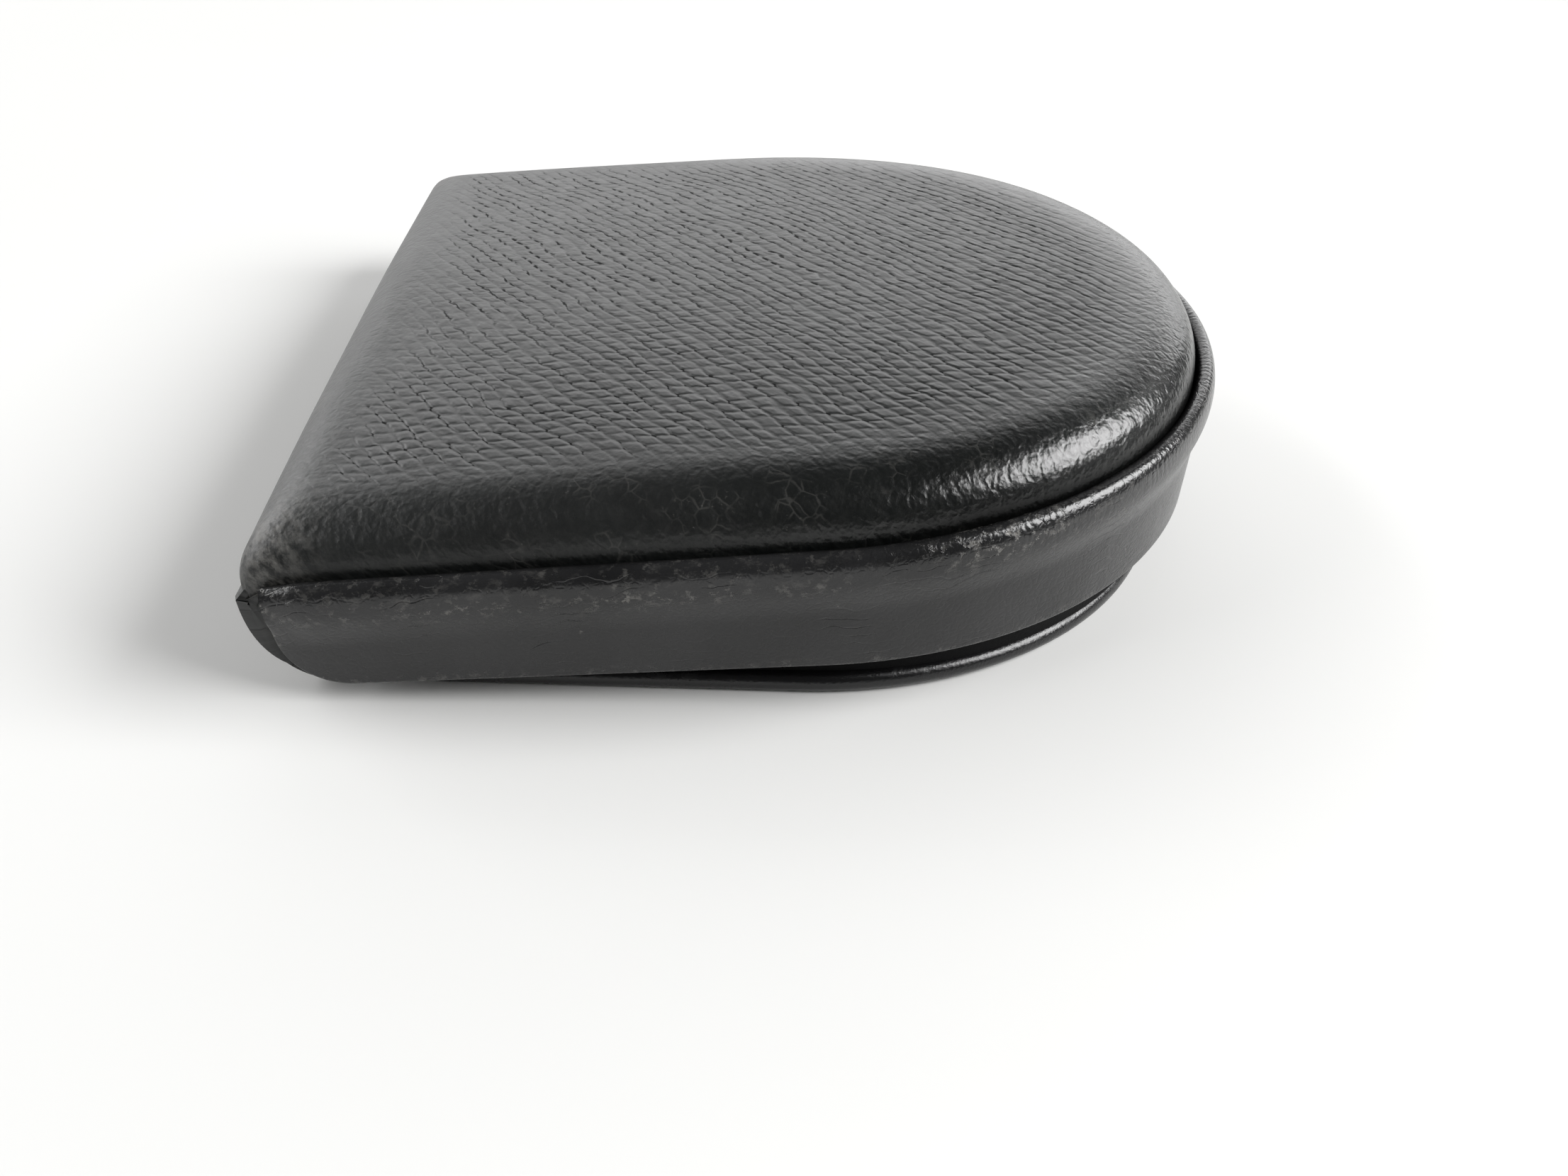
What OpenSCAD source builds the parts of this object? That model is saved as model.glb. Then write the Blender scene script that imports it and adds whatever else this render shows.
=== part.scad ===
/* [Outline] */
// Width of the case over the lid bead
case_width = 70; // [60:1:80]
// Length of the lid from the back of the spine to the round end
case_length = 69; // [62:1:78]
// Angle between the lid and the sole as the case stands closed
wedge_angle = 6; // [3.5:0.1:7]
// Height of the lid rim above the table at the spine
rim_height = 8.9; // [8.4:0.1:10.5]

/* [Band of the lid] */
// Depth of the band at the spine
band_rear = 7; // [6:0.1:7.1]
// Depth of the band at the round end
band_front = 9.9; // [8.5:0.1:11]
// Radius of the lower corner at each end of the band
band_corner = 3.8; // [3.6:0.1:5]
// Diameter of the rolled bead along the top of the band
bead_size = 1.5; // [1.3:0.1:2]
// How far the bead stands out from the band
bead_proud = 0.35; // [0.2:0.05:0.6]

/* [Padded top of the lid] */
// Height of the crown above the rim
crown_height = 4.3; // [3.5:0.1:5]
// How far the middle of the pad stands above its shoulder
crown_swell = 1.1; // [0.6:0.1:1.4]
// Distance from the middle over which the swell fades
swell_reach = 41; // [38:1:50]
// Distance from the bead to the foot of the pad
pad_inset = 1.9; // [1.7:0.1:2.6]
// Depth of the groove between pad and bead
groove_depth = 0.7; // [0.5:0.05:0.9]
// Width of the shoulder of the pad
shoulder_run = 5; // [4:0.1:6]
// Fullness of the shoulder, 2 is an ellipse and more is squarer
shoulder_power = 2.5; // [2:0.1:3]
// Radius of the two corners of the pad at the spine
pad_corner = 1.6; // [1.4:0.1:3]

/* [Layers] */
// Thickness of the leather over the pad
cover_leather = 0.8; // [0.6:0.05:1]
// Thickness of the band and spine leather
band_skin = 0.7; // [0.5:0.05:0.9]
// Thickness of the stiffener in the band
band_stiffener = 0.5; // [0.3:0.05:0.7]
// Thickness of the lining
lining = 0.3; // [0.2:0.05:0.4]
// Thickness of the board in the lid
lid_board_thick = 0.7; // [0.5:0.05:0.9]
// Thickness of the thin leather on sole, tray and pocket
thin_leather = 0.5; // [0.4:0.05:0.6]
// Thickness of the board in the sole
sole_board_thick = 0.7; // [0.5:0.05:0.9]
// Thickness of the stiffener in the tray wall
tray_stiffener = 0.5; // [0.3:0.05:0.6]
// Thickness of the lining under the pocket
pocket_lining = 0.4; // [0.3:0.05:0.5]

/* [Sole and tray] */
// Height of the sole with its turned edge
sole_height = 1.6; // [1.4:0.05:1.8]
// Distance from the front of the lid to the front of the sole
sole_front_inset = 0.8; // [0.4:0.1:1.6]
// Width of the turned-over margin on the sole
sole_margin = 4; // [3:0.1:6]
// Radius of the two corners of the sole at the spine
sole_corner = 5; // [3:0.1:7]
// Distance from the spine to the ends of the tray wall
tray_rear = 7.5; // [7.2:0.1:10]
// Distance from the spine to the mouth of the coin pocket
mouth_at = 14; // [12:0.5:20]

/* [Spine] */
// Outer radius of the bend from the spine to the sole
spine_bend = 5; // [4.5:0.1:5.2]
// How far each end of the spine stays inside the bead at the upper fold
spine_recess = 1.6; // [1.4:0.1:3]
// How much further in each end of the spine is at the sole
spine_taper = 2.9; // [1:0.1:4]
// Radius of the rolled leather along each fold
fold_radius = 0.5; // [0.4:0.05:0.5]
// Depth of the upper fold under the rim
fold_drop = 1.5; // [1.4:0.1:1.8]

/* [Fits] */
// Gap between the band and the tray wall
nest_gap = 0.75; // [0.6:0.05:1]
// Gap between the band and the edge of the sole
sole_gap = 0.35; // [0.3:0.05:0.6]
// Gap between the lid lining and the pocket
pocket_gap = 0.35; // [0.3:0.05:0.6]
// Gap at the folds
fold_gap = 0.35; // [0.3:0.05:0.5]

/* [Hidden] */
$fn = 96;
half_width = case_width / 2;
lid_centre = case_length - half_width;
bead_r = bead_size / 2;
face_r = half_width - bead_proud;
core_r = face_r - band_skin;
line_r = core_r - band_stiffener;
inner_r = line_r - lining;
tray_r = inner_r - nest_gap;
tray_core_r = tray_r - thin_leather;
tray_line_r = tray_core_r - tray_stiffener;
tray_in_r = tray_line_r - lining;
sole_r = inner_r - sole_gap;
sole_centre = case_length - sole_front_inset - sole_r;
sole_edge = sole_height / 2;
sole_board_r = sole_r - thin_leather;
sole_board_top = thin_leather + sole_board_thick;
margin_r = sole_r - sole_margin;
floor_top = sole_board_top + lining;
board_top = -groove_depth;
board_under = board_top - lid_board_thick;
lid_under = board_under - lining;
pocket_top = lid_under - pocket_gap;
pocket_skin_under = pocket_top - thin_leather;
pocket_under = pocket_skin_under - pocket_lining;
core_top = board_top - bead_size / 8;
spine_thick = band_skin + lining;
lid_rear = spine_thick + fold_gap;
pad_rear = lid_rear - lining;
pad_r = half_width - pad_inset;
fold_low_u = spine_bend + lining;
fold_low_z = fold_radius;
fold_high_u = fold_radius;
fold_high_z = rim_height - fold_drop;
sole_rear = fold_low_u + fold_radius + fold_gap;
front_reach = face_r * cos(wedge_angle) + lid_centre * cos(wedge_angle) + band_front * sin(wedge_angle);
spine_y = front_reach / 2;
deep = 4 * band_front;
wide = 2 * case_width;
edge_angle = atan((band_front - band_rear) / case_length);
shoulder_share = shoulder_run / pad_r;
shoulder_steps = 6;
pad_rings = concat(
    [for (i = [0 : shoulder_steps]) shoulder_share * (1 - pow(cos(90 * i / shoulder_steps), 2 / shoulder_power))],
    [0.35, 0.65]);
arc_steps = 28;
flank_steps = 6;
corner_steps = 4;
rear_steps = 10;

// Leather and lining shades
cover_black = [0.10, 0.10, 0.11];
band_black = [0.13, 0.13, 0.14];
sole_black = [0.08, 0.08, 0.09];
board_grey = [0.55, 0.52, 0.47];
foam_pale = [0.86, 0.84, 0.78];
lining_dark = [0.22, 0.20, 0.19];

// Distance from the spine runs towards minus Y in every piece
module lid_place() {
    translate([0, spine_y, rim_height])
        rotate([-wedge_angle, 0, 0])
            children();
}

module base_place() {
    translate([0, spine_y, 0])
        children();
}

// A side outline of distance and height drawn out across the case
module across(span) {
    rotate([90, 0, -90])
        linear_extrude(height = span, center = true)
            children();
}

// A wall section carried along one flank, round the end and back along the other flank
module horseshoe(centre, rear) {
    run = centre - rear;
    translate([0, -centre, 0]) {
        rotate([0, 0, 180])
            rotate_extrude(angle = 180)
                children();
        for (side = [0, 1])
            mirror([side, 0, 0])
                translate([0, run, 0])
                    rotate([90, 0, 0])
                        linear_extrude(height = run)
                            children();
    }
}

// A flat horseshoe sheet between two heights
module sheet(radius, centre, rear, low, high) {
    translate([0, 0, low])
        linear_extrude(height = high - low)
            intersection() {
                union() {
                    translate([0, -centre])
                        circle(r = radius);
                    translate([-radius, -centre])
                        square([2 * radius, centre - rear]);
                }
                translate([-radius, -centre - radius])
                    square([2 * radius, centre + radius - rear]);
            }
}

// A flat horseshoe sheet with round corners at its straight end
module cornered_sheet(radius, centre, rear, corner, low, high) {
    side = radius - corner;
    sheet(radius, centre, rear + corner, low, high);
    translate([-side, -rear - corner - lining, low])
        cube([2 * side, corner + lining, high - low]);
    for (x = [-side, side])
        translate([x, -rear - corner, low])
            cylinder(r = corner, h = high - low);
}

// A rectangular wall section between two radii and two heights
module wall_section(inside, outside, low, high) {
    translate([inside, low])
        square([outside - inside, high - low]);
}

// Side outline of the band with its sloping edge and rounded end, drawn in by a margin
module band_side(margin) {
    rear = lid_rear + margin;
    radius = band_corner - margin;
    slope = tan(edge_angle);
    middle_u = rear + radius;
    middle_z = margin / cos(edge_angle) - band_rear - slope * middle_u + radius / cos(edge_angle);
    far = case_length + half_width;
    difference() {
        polygon([
            [rear, band_front],
            [far, band_front],
            [far, margin / cos(edge_angle) - band_rear - slope * far],
            [rear, margin / cos(edge_angle) - band_rear - slope * rear]
        ]);
        difference() {
            polygon([
                [middle_u, middle_z],
                [rear - radius, middle_z],
                [rear - radius, middle_z - 2 * radius],
                [middle_u - 2 * radius * sin(edge_angle), middle_z - 2 * radius * cos(edge_angle)]
            ]);
            translate([middle_u, middle_z])
                circle(r = radius);
        }
    }
}

// Plan of the pad, drawn in by a margin
function pad_plan(margin) = let(
        r = pad_r - margin,
        rear = pad_rear + margin,
        c = pad_corner - margin / 2
    ) concat(
        [for (i = [0 : arc_steps]) [r * cos(180 * i / arc_steps), -lid_centre - r * sin(180 * i / arc_steps)]],
        [for (i = [1 : flank_steps]) [-r, -lid_centre + (lid_centre - rear - c) * i / flank_steps]],
        [for (i = [1 : corner_steps]) [-r + c - c * cos(90 * i / corner_steps),
            -rear - c + c * sin(90 * i / corner_steps)]],
        [for (i = [1 : rear_steps]) [-r + c + 2 * (r - c) * i / rear_steps, -rear]],
        [for (i = [1 : corner_steps]) [r - c + c * sin(90 * i / corner_steps),
            -rear - c + c * cos(90 * i / corner_steps)]],
        [for (i = [1 : flank_steps - 1]) [r, -rear - c - (lid_centre - rear - c) * i / flank_steps]]
    );

// Rise of the shoulder from 0 to 1 at a fraction of the way in from the edge
function shoulder_rise(fraction) =
    pow(1 - pow(1 - min(fraction / shoulder_share, 1), shoulder_power), 1 / shoulder_power);

// Height of the pad at a fraction of the way in from its edge and a reach from its middle
function pad_height(fraction, reach, crown) =
    board_top + shoulder_rise(fraction) * (crown - crown_swell * pow(reach / swell_reach, 2));

// Rings of points from the foot of the pad to just short of the crown
function pad_surface(margin) = let(
        plan = pad_plan(margin),
        crown = crown_height + groove_depth - margin,
        middle = [0, -lid_centre]
    ) concat(
        [for (fraction = pad_rings, p = plan)
            concat(middle + (p - middle) * (1 - fraction),
                [pad_height(fraction, norm(p - middle) * (1 - fraction), crown)])],
        [concat(middle, [board_top + crown])]
    );

// Faces over the rings, counted from a first point, seen from above or from below
function dome_faces(first, around, rings, flip) = concat(
        [for (k = [0 : rings - 2], i = [0 : around - 1]) let(
                a = first + k * around + i,
                b = first + k * around + (i + 1) % around
            ) flip ? [a, a + around, b + around, b] : [a, b, b + around, a + around]],
        [for (i = [0 : around - 1]) let(
                a = first + (rings - 1) * around + i,
                b = first + (rings - 1) * around + (i + 1) % around,
                top = first + rings * around
            ) flip ? [a, top, b] : [a, b, top]]
    );

module lid_cover() {
    around = len(pad_plan(0));
    rings = len(pad_rings);
    inner = rings * around + 1;
    color(cover_black)
        lid_place()
            polyhedron(
                points = concat(pad_surface(0), pad_surface(cover_leather)),
                faces = concat(
                    dome_faces(0, around, rings, false),
                    dome_faces(inner, around, rings, true),
                    [for (i = [0 : around - 1]) [i, inner + i, inner + (i + 1) % around, (i + 1) % around]]
                ),
                convexity = 4);
}

module lid_foam() {
    around = len(pad_plan(cover_leather));
    rings = len(pad_rings);
    color(foam_pale)
        lid_place()
            polyhedron(
                points = concat(pad_surface(cover_leather), [[0, -lid_centre, board_top]]),
                faces = concat(
                    dome_faces(0, around, rings, false),
                    [for (i = [0 : around - 1]) [i, rings * around + 1, (i + 1) % around]]
                ),
                convexity = 4);
}

module lid_board() {
    color(board_grey)
        lid_place()
            sheet(line_r, lid_centre, lid_rear, board_under, board_top);
}

module lid_lining() {
    color(lining_dark)
        lid_place()
            sheet(inner_r, lid_centre, lid_rear, lid_under, board_under);
}

module band_leather() {
    color(band_black)
        lid_place()
            difference() {
                intersection() {
                    union() {
                        horseshoe(lid_centre, 0)
                            wall_section(line_r, face_r, -deep, -bead_r);
                        horseshoe(lid_centre, 0)
                            translate([half_width - bead_r, -bead_r])
                                circle(r = bead_r);
                    }
                    across(wide)
                        band_side(0);
                }
                intersection() {
                    horseshoe(lid_centre, 0)
                        wall_section(line_r - band_skin, core_r, -deep, core_top);
                    across(wide)
                        band_side(thin_leather);
                }
            }
}

module band_core() {
    color(board_grey)
        lid_place()
            intersection() {
                horseshoe(lid_centre, 0)
                    wall_section(line_r, core_r, -deep, core_top);
                across(wide)
                    band_side(thin_leather);
            }
}

module band_lining() {
    color(lining_dark)
        lid_place()
            intersection() {
                horseshoe(lid_centre, 0)
                    wall_section(inner_r, line_r, -deep, board_under);
                across(wide)
                    band_side(0);
            }
}

// Side outline of one layer of the spine between two depths from its outer face
module spine_layer(outside, inside, low_end, high_end) {
    intersection() {
        translate([spine_bend, spine_bend])
            difference() {
                circle(r = spine_bend - outside);
                circle(r = spine_bend - inside);
            }
        square([low_end, spine_bend]);
    }
    translate([outside, spine_bend])
        square([inside - outside, high_end - spine_bend]);
}

// Room for the spine as seen from behind, wide at the upper fold and narrow at the sole
module spine_back() {
    top = half_width - spine_recess;
    foot = top - spine_taper;
    high = fold_high_z + fold_radius;
    rotate([90, 0, 0])
        linear_extrude(height = 4 * spine_bend, center = true)
            polygon([[-foot, 0], [foot, 0], [top, high], [-top, high]]);
}

module spine_leather() {
    color(cover_black)
        base_place()
            intersection() {
                across(wide)
                    union() {
                        spine_layer(0, band_skin, spine_bend, fold_high_z);
                        translate([spine_bend, 0])
                            square([fold_low_u - spine_bend, band_skin]);
                        translate([fold_low_u, fold_low_z])
                            circle(r = fold_radius);
                        translate([fold_high_u, fold_high_z])
                            circle(r = fold_radius);
                    }
                spine_back();
            }
}

module spine_lining() {
    color(lining_dark)
        base_place()
            intersection() {
                across(wide)
                    spine_layer(band_skin, spine_thick, fold_low_u - fold_radius - lining / 4,
                        fold_high_z - fold_radius);
                spine_back();
            }
}

// Section of the turned edge of the sole, square inside and round outside
module sole_section(reach) {
    translate([reach - sole_edge, sole_edge])
        intersection() {
            circle(r = sole_edge);
            translate([0, -sole_edge])
                square([sole_edge, sole_height]);
        }
    wall_section(reach - sole_edge - thin_leather, reach - sole_edge, 0, sole_height);
}

module base_leather() {
    corner_at = sole_rear + sole_corner - sole_edge;
    inner_corner = sole_corner - sole_edge - thin_leather / 2;
    side = sole_r - sole_corner;
    color(sole_black)
        base_place()
            difference() {
                union() {
                    cornered_sheet(side + inner_corner, sole_centre, corner_at - inner_corner, inner_corner,
                        0, sole_height);
                    translate([-side, -corner_at, 0])
                        cube([2 * side, sole_corner, sole_height]);
                    horseshoe(sole_centre, corner_at)
                        sole_section(sole_r);
                    for (turn = [0, 1])
                        mirror([turn, 0, 0])
                            translate([side, -corner_at, 0])
                                rotate_extrude(angle = 90)
                                    sole_section(sole_corner);
                }
                translate([-wide, -sole_rear, -sole_height])
                    cube([2 * wide, wide, 3 * sole_height]);
                cornered_sheet(sole_board_r, sole_centre, sole_rear - lining, sole_corner - thin_leather + lining,
                    thin_leather, sole_board_top);
                sheet(margin_r, sole_centre, sole_rear - lining, sole_board_top, 2 * sole_height);
            }
}

module base_board() {
    color(board_grey)
        base_place()
            intersection() {
                cornered_sheet(sole_board_r, sole_centre, sole_rear - lining, sole_corner - thin_leather + lining,
                    thin_leather, sole_board_top);
                translate([-wide, -sole_rear - wide, 0])
                    cube([2 * wide, wide, sole_height]);
            }
}

module floor_lining() {
    color(lining_dark)
        base_place()
            sheet(margin_r, sole_centre, sole_rear, sole_board_top, floor_top);
}

// A wall of the tray that stands on the sole and carries the pocket
module tray_wall(inside, outside) {
    difference() {
        lid_place()
            horseshoe(lid_centre, tray_rear)
                wall_section(inside, outside, -deep, pocket_under);
        translate([-wide, -wide, sole_height - deep])
            cube([2 * wide, 2 * wide, deep]);
    }
}

module tray_leather() {
    color(band_black)
        tray_wall(tray_core_r, tray_r);
}

module tray_core() {
    color(board_grey)
        tray_wall(tray_line_r, tray_core_r);
}

module tray_lining() {
    color(lining_dark)
        tray_wall(tray_in_r, tray_line_r);
}

module pocket_leather() {
    color(band_black)
        lid_place()
            union() {
                sheet(tray_r, lid_centre, mouth_at, pocket_skin_under, pocket_top);
                translate([-tray_r, -mouth_at, pocket_under])
                    cube([2 * tray_r, thin_leather, pocket_top - pocket_under]);
            }
}

module pocket_lining_sheet() {
    color(lining_dark)
        lid_place()
            sheet(tray_r, lid_centre, mouth_at, pocket_under, pocket_skin_under);
}

lid_cover();
lid_foam();
lid_board();
lid_lining();
band_leather();
band_core();
band_lining();
spine_leather();
spine_lining();
base_leather();
base_board();
floor_lining();
tray_leather();
tray_core();
tray_lining();
pocket_leather();
pocket_lining_sheet();
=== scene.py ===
"""Horseshoe coin case in black leather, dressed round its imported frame."""
import math

import bmesh
import bpy
import numpy as np
from mathutils import Matrix, Vector


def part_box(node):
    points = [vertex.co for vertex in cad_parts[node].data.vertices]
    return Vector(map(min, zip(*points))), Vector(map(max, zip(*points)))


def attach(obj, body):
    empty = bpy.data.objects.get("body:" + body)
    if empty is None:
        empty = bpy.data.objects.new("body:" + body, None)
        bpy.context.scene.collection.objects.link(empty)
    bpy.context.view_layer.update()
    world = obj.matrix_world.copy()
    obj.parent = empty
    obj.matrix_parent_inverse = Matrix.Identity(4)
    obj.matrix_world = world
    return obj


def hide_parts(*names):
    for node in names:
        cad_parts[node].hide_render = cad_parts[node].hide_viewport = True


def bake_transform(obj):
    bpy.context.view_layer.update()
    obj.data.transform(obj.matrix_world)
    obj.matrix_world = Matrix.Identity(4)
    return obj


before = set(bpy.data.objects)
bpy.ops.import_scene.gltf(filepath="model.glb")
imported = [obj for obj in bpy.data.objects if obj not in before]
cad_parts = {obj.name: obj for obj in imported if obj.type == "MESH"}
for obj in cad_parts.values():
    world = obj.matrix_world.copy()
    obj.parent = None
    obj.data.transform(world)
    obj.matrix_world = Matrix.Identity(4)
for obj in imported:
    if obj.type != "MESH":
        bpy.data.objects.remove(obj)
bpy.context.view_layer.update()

bl_info = {
    "name": "Horseshoe Coin Case",
    "version": (1, 0, 0),
    "blender": (4, 5, 0),
    "location": "View3D > Sidebar > Coin Case",
    "description": "Leather pieces, finishes and a studio stage for a horseshoe coin case",
    "category": "Object",
}

MM = 0.001
SPINE_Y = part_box("spine_leather")[1].y
HALF_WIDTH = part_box("band_leather")[1].x
SPINE_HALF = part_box("spine_leather")[1].x
SOLE_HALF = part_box("base_leather")[1].x
SOLE_FRONT = SPINE_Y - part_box("base_leather")[0].y
SOLE_REAR = SPINE_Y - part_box("base_leather")[1].y
SOLE_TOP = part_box("base_leather")[1].z
PHOTO_WIDTH = 2212
BEAD_STEPS = 36
RUN_STEPS = 14
FLOOR_HALF = 1.5
LAMPS_AIM = Vector((0, 0, 0.01))
# Place and size of each lamp in metres
LAMPS = {
    "window": ((-0.10, -0.47, 0.35), (0.42, 0.31)),
    "wall": ((0.92, 0.0, 0.30), (2.4, 0.42)),
    "upper_wall": ((0.80, 0.0, 0.68), (2.4, 0.42)),
    "fill": ((0.1, 0.80, 0.38), (1.1, 0.5)),
}


# Settings

def length(name, description, millimetres):
    """A length property with its default in millimetres."""
    return bpy.props.FloatProperty(
        name=name, description=description, default=millimetres * MM, unit="LENGTH", precision=5)


def angle(name, description, degrees):
    """An angle property with its default in degrees."""
    return bpy.props.FloatProperty(
        name=name, description=description, default=math.radians(degrees), subtype="ANGLE")


def number(name, description, default):
    """A plain number."""
    return bpy.props.FloatProperty(name=name, description=description, default=default)


def factor(name, description, default):
    """A plain number from 0 to 1."""
    return bpy.props.FloatProperty(
        name=name, description=description, default=default, min=0.0, max=1.0, subtype="FACTOR")


def colour(name, description, rgb):
    """A linear colour."""
    return bpy.props.FloatVectorProperty(
        name=name, description=description, default=rgb, size=3, min=0.0, max=1.0, subtype="COLOR")


class CoinCaseSizes(bpy.types.PropertyGroup):
    """Sizes of the leather pieces that show."""
    case_length: length("Length", "Lid from the back of the spine to the round end", 69)
    wedge: angle("Wedge", "Angle between the lid and the sole", 6)
    rim_height: length("Rim height", "Lid rim above the table at the spine", 8.9)
    band_rear: length("Band depth at spine", "Depth of the band at the spine", 7.6)
    band_front: length("Band depth in front", "Depth of the band at the round end", 10.2)
    band_start: length("Band start", "Distance of the band's ends from the back of the spine", 1.35)
    band_corner: length("Band corner", "Radius of the lower corner at each end of the band", 3.8)
    band_skin: length("Band leather", "Thickness of the band's leather", 0.7)
    band_core: length("Band core", "Thickness of the stiffener in the band", 0.5)
    band_lean: length("Band lean", "How far the band draws in at its lower edge", 0.05)
    bead: length("Bead", "Diameter of the rolled bead", 1.7)
    bead_proud: length("Bead overhang", "How far the bead stands out from the band", 0.6)
    bead_inside: length("Bead inside", "Reach of the bead's inner slope from its crest to the pad", 0.9)
    bead_fall: length("Bead fall", "Height of the bead's rounded outer side", 1.7)
    bead_blend: length("Bead blend", "Depth over which the bead runs out into the band", 4.8)
    bead_end: length("Bead end", "Length over which the bead slims towards the band's ends", 2.5)
    hem: length("Hem", "Thickness of the leather turned under the band", 0.5)
    pad_inset: length("Pad inset", "Distance from the bead to the side of the pad", 1.65)
    pad_bulge: length("Pad bulge", "How far the pad stands out on each side of the round end", 0.45)
    pad_draw: length("Pad draw", "How far the pad stands back in the middle of the round end", 0.4)
    pad_start: length("Pad start", "Distance of the pad's foot from the back of the spine", -0.35)
    pad_corner: length("Pad corner", "Radius of the pad's corners at the spine", 1.0)
    groove: length("Groove", "Depth of the groove beside the bead", 0.7)
    shoulder_rise: length("Shoulder rise", "Height of the pad's shoulder over the groove", 3.9)
    shoulder_run: length("Shoulder run", "Width of the pad's shoulder", 5.0)
    shoulder_power: number("Shoulder fullness", "Power of the shoulder's curve, 2 for an ellipse", 2.5)
    pad_ripple: length("Pad ripple", "Height of the slow ripple over the pad", 0.04)
    pad_pull: length("Pad pull", "How far the pad's foot reaches down over the spine", 1.1)
    pad_pull_run: length("Pad pull run", "Distance from the back over which the foot reaches down", 2)
    flange: length("Flange", "Reach of the top leather under the bead", 0.7)
    flange_lift: length("Flange lift", "Height of the flange's edge over the pad's foot", 0.1)
    crown: length("Crown", "Swell of the pad above its shoulder", 1.1)
    crown_reach: length("Crown reach", "Distance over which the swell fades", 41)
    cover_skin: length("Top leather", "Thickness of the top leather", 0.8)
    spine_skin: length("Spine leather", "Thickness of the spine leather", 0.7)
    spine_bend: length("Spine bend", "Reach of the bend from spine to sole", 5)
    spine_square: number("Spine fullness", "Power of the bend from spine to sole, 2 for an ellipse", 2.5)
    spine_wrap: length("Spine wrap", "Radius of the leather's ends round the corner", 0.4)
    spine_bulge: length("Spine bulge", "How far the leather stands out at its upper fold", 0.5)
    spine_taper: length("Spine taper", "How much narrower the leather is at the sole, each side", 1.2)
    spine_tuck: length("Spine tuck", "Height of the leather tucked in above the upper fold", 1.1)
    spine_lean: length("Spine lean", "How far the tucked part leans in under the pad", 0.9)
    spine_narrow: length("Spine narrowing", "How much narrower the tucked part is, each side", 0.35)
    spine_hem: length("Spine hem", "Width of the thick part at the turned-in sides of the spine", 1.2)
    spine_edge: length("Spine edge", "Thickness of the leather where its sides are turned in", 1.45)
    fold_drop: length("Fold drop", "Depth of the upper fold under the rim", 1.5)
    sole_corner: length("Sole corner", "Radius of the sole's corners at the spine", 4.6)
    sole_spread: length("Sole spread", "How much wider the leather is than the CAD sole, each side", 0.4)
    sole_short: length("Sole setback", "How far the leather stays behind the front of the CAD sole", 0.6)
    sole_lap: length("Sole lap", "Reach of the leather over the end of its board", 0.15)
    sole_skin: length("Sole leather", "Thickness of the sole's leather", 0.5)
    sole_taper: length("Sole taper", "How much narrower the sole is at the spine, each side", 0.9)
    sole_margin: length("Sole margin", "Width of the turned-over margin on the sole", 4)
    sole_board: length("Sole board", "Thickness of the board in the sole", 0.7)


class CoinCaseFinish(bpy.types.PropertyGroup):
    """Colours and wear of the leather."""
    top_black: colour("Top leather", "Colour of the grained top leather", (0.0048, 0.0056, 0.0054))
    band_black: colour("Band leather", "Colour of the smooth band leather", (0.012, 0.012, 0.0125))
    sole_black: colour("Sole leather", "Colour of the polished sole leather", (0.007, 0.007, 0.0075))
    lining_black: colour("Lining", "Colour of the lining leather", (0.035, 0.032, 0.030))
    board_grey: colour("Board", "Colour of the leather board", (0.11, 0.10, 0.085))
    foam_cream: colour("Padding", "Colour of the padding", (0.72, 0.69, 0.60))
    dust: colour("Dust", "Colour of dust and bare fibre in the grain", (0.30, 0.29, 0.27))
    wear: factor("Wear", "Amount of scuffing along the edges", 0.5)


class CoinCaseStage(bpy.types.PropertyGroup):
    """Camera and light of the studio view."""
    eye: bpy.props.FloatVectorProperty(
        name="Eye", description="Place of the camera", default=(-0.08501, 0.01089, 0.04937), size=3,
        subtype="TRANSLATION", unit="LENGTH")
    heading: angle("Heading", "Turn of the view from across the case towards the round end", 8.802)
    tilt: angle("Tilt", "Downward tilt of the view", 37.546)
    roll: angle("Roll", "Roll of the camera", 6.563)
    focal_pixels: number("Focal length", "Focal length in pixels of the photograph", 1524.9)
    floor_white: colour("Floor", "Colour of the floor", (0.72, 0.72, 0.71))
    sky: number("Sky", "Strength of the even light", 0.06)
    window: number("Window", "Power of the window beside the round end", 5.5)
    wall: number("Wall", "Power of the pale wall behind the case", 8.0)
    upper_wall: number("Upper wall", "Power of the upper part of that wall", 2.4)
    fill: number("Fill", "Power of the pale wall beside the spine", 8.6)


class CoinCaseSettings(bpy.types.PropertyGroup):
    """All settings of the coin case."""
    sizes: bpy.props.PointerProperty(type=CoinCaseSizes)
    finish: bpy.props.PointerProperty(type=CoinCaseFinish)
    stage: bpy.props.PointerProperty(type=CoinCaseStage)


# Materials

class Value:
    """One shader socket. Arithmetic on it adds Math nodes to its recipe."""

    def __init__(self, recipe, socket):
        self.recipe = recipe
        self.socket = socket

    def math(self, operation, *others):
        values = dict(enumerate((self,) + others))
        return self.recipe.node("ShaderNodeMath", {"operation": operation}, values)

    def __add__(self, other):
        return self.math("ADD", other)

    def __sub__(self, other):
        return self.math("SUBTRACT", other)

    def __rsub__(self, other):
        return self.recipe.node("ShaderNodeMath", {"operation": "SUBTRACT"}, {0: other, 1: self})

    def __mul__(self, other):
        return self.math("MULTIPLY", other)

    __radd__ = __add__
    __rmul__ = __mul__


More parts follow.
